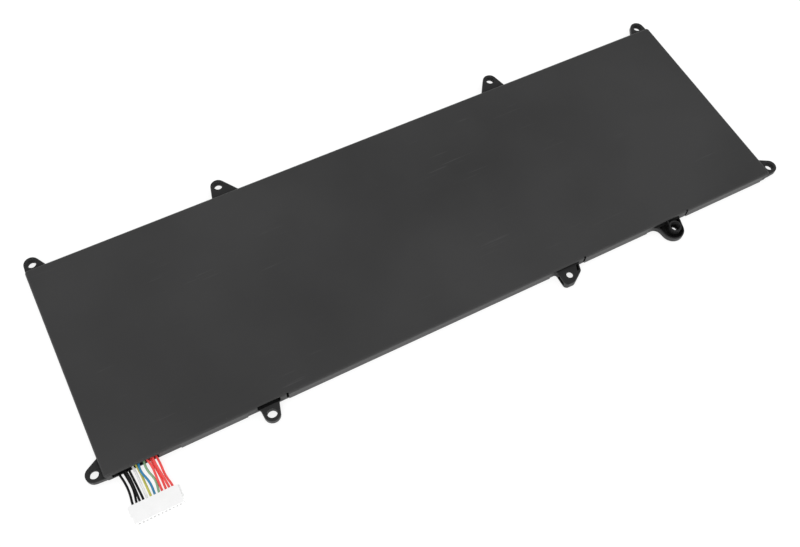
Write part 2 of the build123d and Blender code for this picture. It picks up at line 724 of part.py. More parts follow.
def pad_x(index):
    """Middle of a lead's pad on the board, along X."""
    return LEFT + FIRST_PAD_FROM_LEFT + PAD_PITCH * index


def contact_x(index):
    """Middle of a lead's contact in the housing, along X."""
    return CONTACT_ROW_START + LEAD_PITCH * index


def solder_joints():
    """Solder joint at the board end of each lead, as one group."""
    half = SOLDER_WIDTH / 2
    back = PAD_Y + SOLDER_LENGTH
    top = BOARD_TOP + SOLDER_HEIGHT
    places = [pad_x(index) for index in range(len(LEAD_WANDER))]
    return Compound(
        children=[block(x - half, x + half, PAD_Y, back, BOARD_TOP, top) for x in places]
    )


def lead_route(index, wander):
    """Route of a lead: square out of its joint, through its wander, and square into its bore."""
    middle = HOUSING_HEIGHT / 2
    start = PAD_Y - LEAD_END_RUN
    end = LEAD_END_Y + LEAD_END_RUN
    step = (end - start) / (len(wander) + 1)
    route = [(pad_x(index), PAD_Y, LEAD_Z), (pad_x(index), start, LEAD_Z)]
    for place, (from_left, z) in enumerate(wander, 1):
        route.append((LEFT + from_left, start + step * place, z))
    route += [(contact_x(index), end, middle), (contact_x(index), LEAD_END_Y, middle)]
    return route


def corner_radii(points):
    """Radius of each corner of a route, as large as the shorter of its two runs allows."""
    radii = []
    for before, here, after in zip(points, points[1:], points[2:]):
        run_in = Vector(*here) - Vector(*before)
        run_out = Vector(*after) - Vector(*here)
        half_turn = radians(run_in.get_angle(run_out)) / 2
        radii.append(BEND_SHARE * min(run_in.length, run_out.length) / tan(half_turn))
    return radii


def lead(name, points):
    """Lead: a round tube along its route."""
    radii = corner_radii(points)
    path = FilletPolyline(*points, radius=radii)
    section = Plane(origin=path @ 0, z_dir=path % 0) * Circle(LEAD_DIAMETER / 2)
    tube = sweep(section, path=path)
    ratio = tube.volume / (section.area * path.length)
    print(f"{name}: length {path.length:.2f}, tightest {min(radii):.1f}, volume ratio {ratio:.4f}")
    return tube


def connector_housing():
    """Housing: a flat block with side lobes, and a bore, a pocket and a mouth for each lead."""
    left = CONTACT_ROW_START - HOUSING_END_WALL
    right = CONTACT_ROW_START + CONTACT_ROW + HOUSING_END_WALL
    body = block(left, right, HOUSING_FRONT, HOUSING_REAR, 0, HOUSING_HEIGHT)
    body += block(
        left - HOUSING_LOBE,
        right + HOUSING_LOBE,
        HOUSING_REAR - HOUSING_LOBE_LENGTH,
        HOUSING_REAR,
        0,
        HOUSING_LOBE_HEIGHT,
    )
    body = fillet(body.edges().filter_by(Axis.Z).group_by(SortBy.LENGTH)[-1], HOUSING_ROUND)
    middle = HOUSING_HEIGHT / 2
    bore = Cylinder(LEAD_DIAMETER / 2 + LEAD_BORE_CLEARANCE, LEAD_END_DEPTH)
    half = CONTACT_WIDTH / 2 + CONTACT_GAP
    tall = CONTACT_HEIGHT / 2 + CONTACT_GAP
    mouth = CONTACT_MOUTH / 2
    pocket = HOUSING_FRONT + CONTACT_SETBACK
    for index in range(len(LEAD_WANDER)):
        x = contact_x(index)
        body -= Pos(x, (HOUSING_REAR + LEAD_END_Y) / 2, middle) * Rot(90, 0, 0) * bore
        body -= block(x - half, x + half, pocket, LEAD_END_Y, middle - tall, middle + tall)
        body -= block(x - mouth, x + mouth, HOUSING_FRONT, pocket, middle - 2 * mouth, middle + 2 * mouth)
    return body


def connector_contacts():
    """Box contacts at the ends of the leads, each with its mouth to the front, as one group."""
    front = LEAD_END_Y - CONTACT_LENGTH
    depth = front + CONTACT_SOCKET_DEPTH
    middle = HOUSING_HEIGHT / 2
    half = CONTACT_WIDTH / 2
    tall = CONTACT_HEIGHT / 2
    mouth = CONTACT_MOUTH / 2
    contacts = []
    for index in range(len(LEAD_WANDER)):
        x = contact_x(index)
        box = block(x - half, x + half, front, LEAD_END_Y, middle - tall, middle + tall)
        box -= block(x - mouth, x + mouth, front, depth, middle - 2 * mouth, middle + 2 * mouth)
        contacts.append(box)
    return Compound(children=contacts)


def build():
    """Every piece of the pack by its node's name."""
    pieces = {
        "frame": frame(),
        "top_film": top_film(),
        "bottom_film": bottom_film(),
        "insulation_sheet": insulation_sheet(),
        "circuit_board": circuit_board(),
        "solder_joints": solder_joints(),
        "capacitors": small_parts(CAPACITOR_ROW_START, CAPACITOR_ROW_FROM_FRONT),
        "resistors": small_parts(RESISTOR_ROW_START, RESISTOR_ROW_FROM_FRONT),
        "connector_housing": connector_housing(),
        "connector_contacts": connector_contacts(),
    }
    for index in range(CELL_COUNT):
        number = index + 1
        positive, negative = tab_places(index)
        pieces[f"cell_{number}"] = cell(index)
        pieces[f"cell_tape_{number}"] = cell_tape(index)
        pieces[f"positive_tab_{number}"] = tab(positive)
        pieces[f"negative_tab_{number}"] = tab(negative)
        pieces[f"thermal_cutoff_{number}"] = cutoff(positive)
    for name, size_and_place in BOARD_PARTS.items():
        pieces[name] = board_part(*size_and_place)
    for index, (name, wander) in enumerate(LEAD_WANDER.items()):
        pieces[name] = lead(name, lead_route(index, wander))
    return pieces


os.makedirs("parts", exist_ok=True)
for node, solid in build().items():
    export_step(solid, f"parts/{node}.step")
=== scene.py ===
"""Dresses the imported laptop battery: films, moulded frame, cells and board, leads, plug, stage."""

from math import radians

import bmesh
import bpy
from bpy.props import FloatProperty, FloatVectorProperty, PointerProperty
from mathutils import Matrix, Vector


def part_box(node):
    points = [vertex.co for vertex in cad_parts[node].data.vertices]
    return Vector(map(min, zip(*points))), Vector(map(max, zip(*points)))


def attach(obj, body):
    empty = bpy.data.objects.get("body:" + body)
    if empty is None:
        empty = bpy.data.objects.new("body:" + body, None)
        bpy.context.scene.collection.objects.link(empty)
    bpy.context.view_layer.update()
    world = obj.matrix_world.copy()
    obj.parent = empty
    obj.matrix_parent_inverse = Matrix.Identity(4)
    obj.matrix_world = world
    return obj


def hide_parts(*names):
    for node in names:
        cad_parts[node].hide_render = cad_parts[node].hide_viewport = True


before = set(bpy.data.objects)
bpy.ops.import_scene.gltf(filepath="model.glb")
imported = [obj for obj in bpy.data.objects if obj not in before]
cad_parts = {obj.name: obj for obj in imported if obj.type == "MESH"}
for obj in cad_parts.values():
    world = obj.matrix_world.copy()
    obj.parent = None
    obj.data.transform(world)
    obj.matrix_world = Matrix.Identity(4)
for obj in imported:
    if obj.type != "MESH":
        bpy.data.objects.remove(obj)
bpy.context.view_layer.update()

bl_info = {
    "name": "Laptop Battery Dresser",
    "version": (1, 0, 0),
    "blender": (4, 5, 0),
    "location": "3D View > Sidebar > Battery",
    "description": "Finishes a laptop battery pack and sets it in a small studio",
    "category": "Object",
}

MM = 0.001

# Where each lead wanders between its board pad and the plug: distance from the pack's left end and
# height, in millimetres, at evenly spaced steps along its way
LEAD_WANDER = {
    "lead_black_1": [(4.15, 1.98), (3.95, 1.95), (5.15, 1.75), (5.55, 1.65)],
    "lead_black_2": [(5.75, 2.0), (5.7, 2.15), (6.55, 1.35), (7.0, 1.25)],
    "lead_black_3": [(7.05, 2.1), (6.4, 2.75), (7.25, 2.6), (7.45, 2.3)],
    "lead_black_4": [(8.45, 1.98), (7.65, 1.95), (8.05, 1.75), (8.4, 1.7)],
    "lead_white": [(9.85, 1.98), (9.05, 1.95), (9.6, 1.8), (9.7, 1.7)],
    "lead_yellow": [(11.25, 2.0), (10.15, 2.15), (10.85, 1.4), (10.95, 1.45)],
    "lead_blue": [(12.75, 2.0), (11.75, 2.3), (10.85, 2.75), (12.55, 2.2)],
    "lead_green": [(14.25, 2.0), (13.35, 2.1), (12.8, 1.5), (14.5, 1.35)],
    "lead_red_1": [(15.45, 2.2), (13.65, 2.9), (15.05, 2.4), (14.9, 2.2)],
    "lead_red_2": [(16.85, 2.0), (15.15, 2.15), (15.65, 1.4), (16.2, 1.3)],
    "lead_red_3": [(18.15, 2.2), (16.15, 2.7), (16.15, 2.6), (16.85, 2.35)],
    "lead_red_4": [(19.45, 1.98), (17.05, 1.95), (17.65, 1.75), (17.55, 1.7)],
}
# Straight run of each lead, in metres, out of its board joint and into its plug bore
LEAD_END_RUN = 3.6 * MM
LEAD_BOARD_HEIGHT = 1.98 * MM
LEAD_PLUG_HEIGHT = 1.6 * MM
LEAD_SIDES = 10
SOLDER_PAD_WIDTH = 0.9 * MM
CONTACT_WIDTH = 0.84 * MM

# Slot beside the hollow ear's lid, which the solid has as a groove under a thin skin: its corners, and
# the heights between which the skin is opened
SLOT_CORNERS = [
    (45.2 * MM, -42.7 * MM),
    (44.2 * MM, -45.15 * MM),
    (43.3 * MM, -45.15 * MM),
    (44.3 * MM, -42.7 * MM),
]
SLOT_OPENED = (2.9 * MM, 3.4 * MM)

# Camera at the photograph's angle
CAMERA_PLACE = (-107.25 * MM, -161.95 * MM, 307.1 * MM)
CAMERA_TURN = (29.294, -2.573, -27.736)

# Studio lamps: place, size and power
LAMPS = {
    "Overhead Softbox": ((-0.25, -0.1, 1.3), 1.4, 3.0),
    "Front Fill": ((-0.55, -0.95, 0.45), 0.8, 2.5),
    "Right Fill": ((1.0, -0.2, 0.5), 0.7, 1.0),
}
SKY_LIGHT = 0.75
SKY_REFLECTED_HIGH = 0.2
FLOOR_GLOW = 0.8
FLOOR_SIZE = 4.0
FLOOR_DROP = 0.05 * MM

# Painted shade deep inside a bore or slit, where little light reaches: share of its colour that is
# left, and added roughness
CREVICE_PAINTED_SHADE_TINT = 0.06
CREVICE_ROUGHER = 0.45
# Scuffed and worn surface: how much lighter it is, the edge tint also painting a highlight along
# folds, how much rougher a scratch is, and how far roughness goes up and down from patch to patch
SCUFF_TINT = 2.6
SCUFF_ROUGHER = 0.15
WEAR_AND_HIGHLIGHT_TINT = 2.2
ROUGHNESS_SPREAD = 0.04


def settings(group):
    """Settings of one group, as the panel holds them."""
    return getattr(bpy.context.scene, "battery_" + group)


def add_node(tree, kind, inputs=None, **values):
    """New node with its values set, and its inputs set or linked."""
    node = tree.nodes.new(kind)
    for name, value in values.items():
        setattr(node, name, value)
    for name, value in (inputs or {}).items():
        if isinstance(value, bpy.types.NodeSocket):
            tree.links.new(value, node.inputs[name])
        else:
            node.inputs[name].default_value = value
    return node


def new_group(name, inputs, outputs):
    """Empty shader node group with its named sockets, and its two end nodes."""
    group = bpy.data.node_groups.new(name, "ShaderNodeTree")
    for label, value in inputs.items():
        socket = group.interface.new_socket(label, in_out="INPUT", socket_type="NodeSocketFloat")
        socket.default_value = value
    for label in outputs:
        group.interface.new_socket(label, in_out="OUTPUT", socket_type="NodeSocketFloat")
    return group, group.nodes.new("NodeGroupInput"), group.nodes.new("NodeGroupOutput")


def math(tree, operation, first, second, clamp=False):
    """Result of one sum on two numbers or sockets."""
    node = add_node(tree, "ShaderNodeMath", {0: first, 1: second}, operation=operation)
    node.use_clamp = clamp
    return node.outputs[0]


def ramp(tree, value, low, high, to_low=0.0, to_high=1.0):
    """Value stretched from one span to another, and held inside it."""
    inputs = {"Value": value, 1: low, 2: high, 3: to_low, 4: to_high}
    return add_node(tree, "ShaderNodeMapRange", inputs).outputs[0]


def scaled_place(tree, size, stretch=(1.0, 1.0, 1.0), turn=0.0):
    """Place on the piece, counted in steps of a size, turned about Z and stretched."""
    place = add_node(tree, "ShaderNodeTexCoord").outputs["Object"]
    scale = math(tree, "DIVIDE", 1.0, size)
    inputs = {0: place, "Scale": scale}
    steps = add_node(tree, "ShaderNodeVectorMath", inputs, operation="SCALE").outputs[0]
    inputs = {"Vector": steps, "Rotation": (0.0, 0.0, radians(turn)), "Scale": stretch}
    return add_node(tree, "ShaderNodeMapping", inputs).outputs[0]


def grain_group():
    """Moulded or rolled grain: fine bumps, and slow patches of lighter and darker surface."""
    group, given, result = new_group(
        "Surface Grain", {"Grain Size": 0.3 * MM, "Patch Size": 20 * MM}, ["Height", "Patches"]
    )
    fine = scaled_place(group, given.outputs["Grain Size"])
    slow = scaled_place(group, given.outputs["Patch Size"])
    bumps = add_node(group, "ShaderNodeTexNoise", {"Vector": fine, "Scale": 1.0, "Detail": 3.0})
    patches = add_node(group, "ShaderNodeTexNoise", {"Vector": slow, "Scale": 1.0, "Detail": 4.0})
    group.links.new(ramp(group, bumps.outputs[0], 0.3, 0.7), result.inputs["Height"])
    group.links.new(ramp(group, patches.outputs[0], 0.35, 0.65), result.inputs["Patches"])
    return group


def scuff_group():
    """Hairline scratches in two directions, and scattered specks."""
    group, given, result = new_group(
        "Scuffs", {"Spacing": 12 * MM, "Speck Spacing": 3 * MM}, ["Hairlines", "Specks"]
    )
    hairs = []
    for turn in (24.0, -57.0):
        place = scaled_place(group, given.outputs["Spacing"], (0.5, 22.0, 1.0), turn)
        streak = add_node(group, "ShaderNodeTexNoise", {"Vector": place, "Scale": 1.0})
        patch = scaled_place(group, given.outputs["Spacing"], (0.8, 0.8, 0.8), turn)
        where = add_node(group, "ShaderNodeTexNoise", {"Vector": patch, "Scale": 1.0})
        thin = ramp(group, streak.outputs[0], 0.66, 0.72)
        seldom = ramp(group, where.outputs[0], 0.58, 0.7)
        hairs.append(math(group, "MULTIPLY", thin, seldom))
    dots = scaled_place(group, given.outputs["Speck Spacing"])
    cells = add_node(group, "ShaderNodeTexVoronoi", {"Vector": dots, "Scale": 1.0})
    speck = ramp(group, cells.outputs["Distance"], 0.03, 0.07, 1.0, 0.0)
    kept = add_node(group, "ShaderNodeSeparateColor", {"Color": cells.outputs["Color"]})
    speck = math(group, "MULTIPLY", speck, ramp(group, kept.outputs[0], 0.8, 0.85))
    hair = math(group, "MAXIMUM", hairs[0], hairs[1])
    group.links.new(hair, result.inputs["Hairlines"])
    group.links.new(speck, result.inputs["Specks"])
    return group


def edge_wear_and_highlight_group():
    """Wear along outer edges, which on the top film is mostly a painted highlight along its folds,
    broken up by a slow noise.
    """
    group, given, result = new_group(
        "Edge Wear", {"Width": 0.25 * MM, "Break Size": 2 * MM}, ["Mask"]
    )
    rounded = add_node(group, "ShaderNodeBevel", {"Radius": given.outputs["Width"]}, samples=6)
    flat = add_node(group, "ShaderNodeNewGeometry").outputs["Normal"]
    inputs = {0: rounded.outputs[0], 1: flat}
    same = add_node(group, "ShaderNodeVectorMath", inputs, operation="DOT_PRODUCT")
    edge = ramp(group, same.outputs["Value"], 0.985, 0.9, 0.0, 1.0)
    place = scaled_place(group, given.outputs["Break Size"])
    noise = add_node(group, "ShaderNodeTexNoise", {"Vector": place, "Scale": 1.0, "Detail": 3.0})
    broken = ramp(group, noise.outputs[0], 0.35, 0.6, 0.25, 1.0)
    group.links.new(math(group, "MULTIPLY", edge, broken), result.inputs["Mask"])
    return group


def painted_crevice_shade_group():
    """Painted shade inside bores, slits and inner corners, where little light reaches: a mask from 0
    in the open to 1 deep inside.
    """
    group, given, result = new_group("Crevice", {"Reach": 2.5 * MM}, ["Mask"])
    inputs = {"Distance": given.outputs["Reach"]}
    seen = add_node(group, "ShaderNodeAmbientOcclusion", inputs, samples=8, only_local=True)
    deep = ramp(group, seen.outputs["AO"], 0.5, 0.95, 1.0, 0.0)
    group.links.new(deep, result.inputs["Mask"])
    return group


def shared(name):
    """Shared node group by its name, built the first time that it is asked for."""
    makers = {
        "Surface Grain": grain_group,
        "Scuffs": scuff_group,
        "Edge Wear": edge_wear_and_highlight_group,
        "Crevice": painted_crevice_shade_group,
    }
    return bpy.data.node_groups.get(name) or makers[name]()


def place_group(tree, name, inputs):
    """A shared group inside a material, with its own values."""
    node = add_node(tree, "ShaderNodeGroup", node_tree=shared(name))
    for label, value in inputs.items():
        node.inputs[label].default_value = value
    return node


def mix_color(tree, factor, first, second):
    """Colour between two colours or sockets."""
    node = add_node(tree, "ShaderNodeMix", data_type="RGBA")
    for index, value in ((0, factor), (6, first), (7, second)):
        if isinstance(value, bpy.types.NodeSocket):
            tree.links.new(value, node.inputs[index])
        else:
            node.inputs[index].default_value = value
    return node.outputs[2]


def tint(color, factor):
    """A colour made lighter or darker, with full alpha."""
    return (*[min(1.0, channel * factor) for channel in color[:3]], 1.0)


def finish_material(name, color, roughness, grain, depth, **looks):
    """Material with grain, slow patches, scuffs, edge wear that also serves as a painted highlight,
    and painted shade in crevices, over one colour.
    """
    material = bpy.data.materials.new(name)
    material.use_nodes = True
    tree = material.node_tree
    shader = tree.nodes["Principled BSDF"]
    surface = place_group(
        tree, "Surface Grain", {"Grain Size": grain, "Patch Size": looks.get("patch", 20 * MM)}
    )
    contrast = looks.get("contrast", 0.08)
    dark, light = tint(color, 1 - contrast), tint(color, 1 + contrast)
    shade = mix_color(tree, surface.outputs["Patches"], dark, light)
    smoother, rougher = roughness - ROUGHNESS_SPREAD, roughness + ROUGHNESS_SPREAD
    rough = ramp(tree, surface.outputs["Patches"], 0.0, 1.0, smoother, rougher)
    if "scuff" in looks:
        scuffs = place_group(tree, "Scuffs", {"Spacing": looks.get("spacing", 14 * MM)})
        hair = math(tree, "MULTIPLY", scuffs.outputs["Hairlines"], looks["scuff"])
        shade = mix_color(tree, hair, shade, tint(color, SCUFF_TINT))
        speck = math(tree, "MULTIPLY", scuffs.outputs["Specks"], looks["scuff"])
        shade = mix_color(tree, speck, shade, tint(color, SCUFF_TINT))
        rough = math(tree, "ADD", rough, math(tree, "MULTIPLY", hair, SCUFF_ROUGHER))
    # Edge wear, lighter along outer edges; on the top film it is mostly a painted highlight along the
    # folds
    if "wear" in looks:
        edges = place_group(tree, "Edge Wear", {"Width": looks.get("wear_width", 0.25 * MM)})
        worn_and_highlit = math(tree, "MULTIPLY", edges.outputs["Mask"], looks["wear"])
        shade = mix_color(tree, worn_and_highlit, shade, tint(color, looks.get("wear_tint", WEAR_AND_HIGHLIGHT_TINT)))
    # Painted shade: bores, slits and inner corners darkened towards a near-black copy of the colour,
    # and made rougher
    if "crevice" in looks:
        inside = place_group(tree, "Crevice", {"Reach": looks["crevice"]}).outputs["Mask"]
        shade = mix_color(tree, inside, shade, tint(color, CREVICE_PAINTED_SHADE_TINT))
        rough = math(tree, "ADD", rough, math(tree, "MULTIPLY", inside, CREVICE_ROUGHER), clamp=True)
    bump = add_node(
        tree,
        "ShaderNodeBump",
        {"Height": surface.outputs["Height"], "Distance": depth, "Strength": 1.0},
    )
    tree.links.new(shade, shader.inputs["Base Color"])
    tree.links.new(rough, shader.inputs["Roughness"])
    tree.links.new(bump.outputs[0], shader.inputs["Normal"])
    shader.inputs["Metallic"].default_value = looks.get("metal", 0.0)
    shader.inputs["Specular IOR Level"].default_value = looks.get("specular", 0.5)
    return material


def assign(node, material):
    """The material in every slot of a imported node."""
    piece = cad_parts[node]
    piece.data.materials.clear()
    piece.data.materials.append(material)


class BatteryFilmSettings(bpy.types.PropertyGroup):
    """Looks of the two films and of the sheet over the board."""

    top_color: FloatVectorProperty(
        name="Top Film", description="Colour of the film over the top", subtype="COLOR",
        default=(0.037, 0.037, 0.0373), min=0.0, max=1.0,
    )
    bottom_color: FloatVectorProperty(
        name="Bottom Film", description="Colour of the film underneath", subtype="COLOR",
        default=(0.016, 0.016, 0.017), min=0.0, max=1.0,
    )
    grain: FloatProperty(
        name="Grain", description="Size of the film's surface grain", default=0.22 * MM,
        unit="LENGTH",
    )


class BatteryFrameSettings(bpy.types.PropertyGroup):
    """Looks of the moulded frame."""

    color: FloatVectorProperty(
        name="Frame", description="Colour of the moulded plastic", subtype="COLOR",
        default=(0.013, 0.013, 0.0135), min=0.0, max=1.0,
    )
    grain: FloatProperty(
        name="Grain", description="Size of the moulded grain", default=0.28 * MM, unit="LENGTH",
    )


class BatteryLeadSettings(bpy.types.PropertyGroup):
    """Size and colours of the leads, and the colour of the plug."""

    diameter: FloatProperty(
        name="Diameter", description="Outer diameter of each lead", default=0.8 * MM,
        unit="LENGTH",
    )
    black: FloatVectorProperty(
        name="Black", description="Colour of the black leads", subtype="COLOR",
        default=(0.004, 0.004, 0.0045), min=0.0, max=1.0,
    )
    white: FloatVectorProperty(
        name="White", description="Colour of the white lead", subtype="COLOR",
        default=(0.93, 0.93, 0.92), min=0.0, max=1.0,
    )
    yellow: FloatVectorProperty(
        name="Yellow", description="Colour of the yellow lead", subtype="COLOR",
        default=(0.60, 0.57, 0.11), min=0.0, max=1.0,
    )
    blue: FloatVectorProperty(
        name="Blue", description="Colour of the blue lead", subtype="COLOR",
        default=(0.03, 0.24, 0.46), min=0.0, max=1.0,
    )
    green: FloatVectorProperty(
        name="Green", description="Colour of the green lead", subtype="COLOR",
        default=(0.29, 0.52, 0.30), min=0.0, max=1.0,
    )
    red: FloatVectorProperty(
        name="Red", description="Colour of the red leads", subtype="COLOR",
        default=(0.93, 0.085, 0.08), min=0.0, max=1.0,
    )
    plug: FloatVectorProperty(
        name="Plug", description="Colour of the plug's housing", subtype="COLOR",
        default=(0.95, 0.95, 0.95), min=0.0, max=1.0,
    )


class BatteryStageSettings(bpy.types.PropertyGroup):
    """Floor, lamps and lens of the small studio."""

    floor_color: FloatVectorProperty(
        name="Floor", description="Colour of the floor, which also glows a little", subtype="COLOR",
        default=(0.28, 0.28, 0.28), min=0.0, max=1.0,
    )
    sky_color: FloatVectorProperty(
        name="Sky", description="Colour of the soft light from all round", subtype="COLOR",
        default=(1.0, 1.0, 1.0), min=0.0, max=1.0,
    )
    lamp_level: FloatProperty(
        name="Lamp Level", description="Share of each lamp's power", default=1.0,
        subtype="FACTOR", min=0.0, max=2.0,
    )
    lens: FloatProperty(
        name="Lens", description="Focal length of the camera", default=43.186,
        unit="CAMERA", min=10.0,
    )


class BATTERY_OT_stage(bpy.types.Operator):
    """Sets the floor, the world, the lamps and the camera"""

    bl_idname = "battery.stage"
    bl_label = "Set the Stage"

    def world(self, color):
        """World that is white to the camera, dim overhead in reflections, and soft as a light."""
        world = bpy.data.worlds.new("Studio")
        world.use_nodes = True
        tree = world.node_tree
        seen = add_node(tree, "ShaderNodeLightPath")
        soft = tree.nodes["Background"]
        soft.inputs["Color"].default_value = (*color, 1.0)
        soft.inputs["Strength"].default_value = SKY_LIGHT
        towards = add_node(tree, "ShaderNodeTexCoord").outputs["Generated"]
        height = add_node(tree, "ShaderNodeSeparateXYZ", {0: towards}).outputs["Z"]
        dimmed = ramp(tree, height, 0.1, 0.7, 1.0, SKY_REFLECTED_HIGH)
        level = math(tree, "MAXIMUM", seen.outputs["Is Camera Ray"], dimmed)
        white = add_node(tree, "ShaderNodeBackground", {"Color": (1, 1, 1, 1), "Strength": level})
        direct = math(tree, "MAXIMUM", seen.outputs["Is Camera Ray"], seen.outputs["Is Glossy Ray"])
        direct = math(tree, "MAXIMUM", direct, seen.outputs["Is Transmission Ray"])
        inputs = {0: direct, 1: soft.outputs[0], 2: white.outputs[0]}
        mixed = add_node(tree, "ShaderNodeMixShader", inputs)
        tree.links.new(mixed.outputs[0], tree.nodes["World Output"].inputs["Surface"])
        bpy.context.scene.world = world

    def floor(self, color):
        """Wide pale floor that goes over into the white behind it, and keeps a light shadow."""
        bpy.ops.mesh.primitive_plane_add(size=FLOOR_SIZE, location=(0, 0, -FLOOR_DROP))
        floor = bpy.context.object
        floor.name = "floor"
        material = bpy.data.materials.new("Studio Floor")
        material.use_nodes = True
        shader = material.node_tree.nodes["Principled BSDF"]
        shader.inputs["Base Color"].default_value = (*color, 1.0)
        shader.inputs["Roughness"].default_value = 0.9
        shader.inputs["Specular IOR Level"].default_value = 0.0
        shader.inputs["Emission Color"].default_value = (1.0, 1.0, 1.0, 1.0)
        shader.inputs["Emission Strength"].default_value = FLOOR_GLOW
        floor.data.materials.append(material)

    def lamps(self, level):
        """Soft area lamps, each turned towards the pack."""
        for name, (place, size, power) in LAMPS.items():
            data = bpy.data.lights.new(name, "AREA")
            data.shape = "DISK"
            data.size = size
            data.energy = power * level
            lamp = bpy.data.objects.new(name, data)
            lamp.location = place
            lamp.rotation_euler = (-Vector(place)).to_track_quat("-Z", "Y").to_euler()
            bpy.context.collection.objects.link(lamp)

    def camera(self, lens):
        """Camera at the photograph's angle."""
        data = bpy.data.cameras.new("Camera")
        data.lens = lens
        data.sensor_width = 36.0
        data.clip_start = 0.01
        camera = bpy.data.objects.new("Camera", data)
        camera.location = CAMERA_PLACE
        camera.rotation_euler = [radians(angle) for angle in CAMERA_TURN]
        bpy.context.collection.objects.link(camera)
        bpy.context.scene.camera = camera

    def execute(self, context):
        stage = settings("stage")
        self.world(stage.sky_color)
        self.floor(stage.floor_color)
        self.lamps(stage.lamp_level)
        self.camera(stage.lens)
        context.scene.view_settings.view_transform = "Standard"
        return {"FINISHED"}


class BATTERY_OT_leads(bpy.types.Operator):
    """Lays the twelve leads from the board to the plug"""

    bl_idname = "battery.leads"
    bl_label = "Lay the Leads"

    def route(self, index, wander):
        """Points of one lead: square out of its joint, through its wander, into its bore."""
        joints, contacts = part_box("solder_joints"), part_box("connector_contacts")
        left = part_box("top_film")[0][0]
        last = len(LEAD_WANDER) - 1
        pad_step = (joints[1][0] - joints[0][0] - SOLDER_PAD_WIDTH) / last
        contact_step = (contacts[1][0] - contacts[0][0] - CONTACT_WIDTH) / last
        pad_x = joints[0][0] + SOLDER_PAD_WIDTH / 2 + pad_step * index
        contact_x = contacts[0][0] + CONTACT_WIDTH / 2 + contact_step * index
        pad_y, end_y = joints[0][1], contacts[1][1]
        start, end = pad_y - LEAD_END_RUN, end_y + LEAD_END_RUN
        step = (end - start) / (len(wander) + 1)
        points = [(pad_x, pad_y, LEAD_BOARD_HEIGHT), (pad_x, start, LEAD_BOARD_HEIGHT)]
        for place, (from_left, z) in enumerate(wander, 1):
            points.append((left + from_left * MM, start + step * place, z * MM))
        points += [(contact_x, end, LEAD_PLUG_HEIGHT), (contact_x, end_y, LEAD_PLUG_HEIGHT)]
        return points

    def tube(self, name, points, diameter):
        """Round tube along a smooth spline through the lead's route."""
        curve = bpy.data.curves.new(name, "CURVE")
        curve.dimensions = "3D"
        curve.resolution_u = 10
        curve.bevel_depth = diameter / 2
        curve.bevel_resolution = LEAD_SIDES // 2
        curve.use_fill_caps = True
        spline = curve.splines.new("NURBS")
        spline.points.add(len(points) - 1)
        for point, place in zip(spline.points, points):
            point.co = (*place, 1.0)
        spline.order_u = 3
        spline.use_endpoint_u = True
        tube = bpy.data.objects.new(name, curve)
        bpy.context.collection.objects.link(tube)
        return tube

    def execute(self, context):
        leads = settings("leads")
        sleeves = {}
        for shade in ("black", "white", "yellow", "blue", "green", "red"):
            sleeves[shade] = finish_material(
                f"Lead Sleeve {shade.title()}", getattr(leads, shade), 0.36, 0.5 * MM, 0.004 * MM,
                patch=6 * MM, contrast=0.05, specular=0.25 if shade == "black" else 0.5,
            )
        for index, (name, wander) in enumerate(LEAD_WANDER.items()):
            shade = name.split("_")[1]
            points = self.route(index, wander)
            tube = self.tube("sleeve_" + name[5:], points, leads.diameter)
            tube.data.materials.append(sleeves[shade])
            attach(tube, "root")
            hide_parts(name)
        return {"FINISHED"}


class BATTERY_OT_films(bpy.types.Operator):
    """Finishes the top film, the bottom film and the sheet over the board"""

    bl_idname = "battery.films"
    bl_label = "Finish the Films"

    def execute(self, context):
        films = settings("films")
        # Top film: its edge wear is mostly a painted highlight along the folds, and its crevice reach
        # paints shade into its slits
        top = finish_material(
            "Satin Film", films.top_color, 0.46, films.grain, 0.006 * MM,
            patch=70 * MM, contrast=0.13, scuff=0.35, spacing=16 * MM, specular=0.4,
            wear=0.7, wear_width=0.15 * MM, wear_tint=2.4, crevice=1.2 * MM,
        )
        bottom = finish_material(
            "Black Film", films.bottom_color, 0.4, films.grain, 0.006 * MM,
            patch=40 * MM, scuff=0.5, specular=0.35, wear=0.4, wear_width=0.1 * MM,
        )
        sheet = finish_material(
            "Fibre Sheet", (0.05, 0.052, 0.05), 0.8, 0.4 * MM, 0.02 * MM, patch=8 * MM,
        )
        assign("top_film", top)
        assign("bottom_film", bottom)
        assign("insulation_sheet", sheet)
        return {"FINISHED"}


class BATTERY_OT_frame(bpy.types.Operator):
    """Finishes the moulded frame and its ears"""

    bl_idname = "battery.frame"
    bl_label = "Finish the Frame"

    def open_slot(self, piece):
        """Opens the slot beside the hollow ear's lid, with a hidden prism that cuts the skin."""
        mesh = bmesh.new()
        low, high = SLOT_OPENED
        bottom = [mesh.verts.new((x, y, low)) for x, y in SLOT_CORNERS]
        top = [mesh.verts.new((x, y, high)) for x, y in SLOT_CORNERS]
        mesh.faces.new(bottom)
        mesh.faces.new(reversed(top))
        for side in range(len(SLOT_CORNERS)):
            after = (side + 1) % len(SLOT_CORNERS)
            mesh.faces.new((bottom[side], top[side], top[after], bottom[after]))
        bmesh.ops.recalc_face_normals(mesh, faces=mesh.faces)
        data = bpy.data.meshes.new("slot_cutter")
        mesh.to_mesh(data)
        mesh.free()
        cutter = bpy.data.objects.new("slot_cutter", data)
        bpy.context.collection.objects.link(cutter)
        cutter.hide_render = True
        cutter.display_type = "WIRE"
        cut = piece.modifiers.new("Ear Slot", "BOOLEAN")
        cut.operation = "DIFFERENCE"
        cut.object = cutter

    def execute(self, context):
        looks = settings("frame")
        # The frame's crevice reach paints shade into its bores, slots and the hollow ear
        material = finish_material(
            "Moulded Frame", looks.color, 0.5, looks.grain, 0.012 * MM,
            patch=9 * MM, contrast=0.1, scuff=0.4, spacing=8 * MM,
            wear=0.6, wear_width=0.2 * MM, specular=0.5, crevice=2.5 * MM,
        )
        assign("frame", material)
        self.open_slot(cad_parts["frame"])
        return {"FINISHED"}


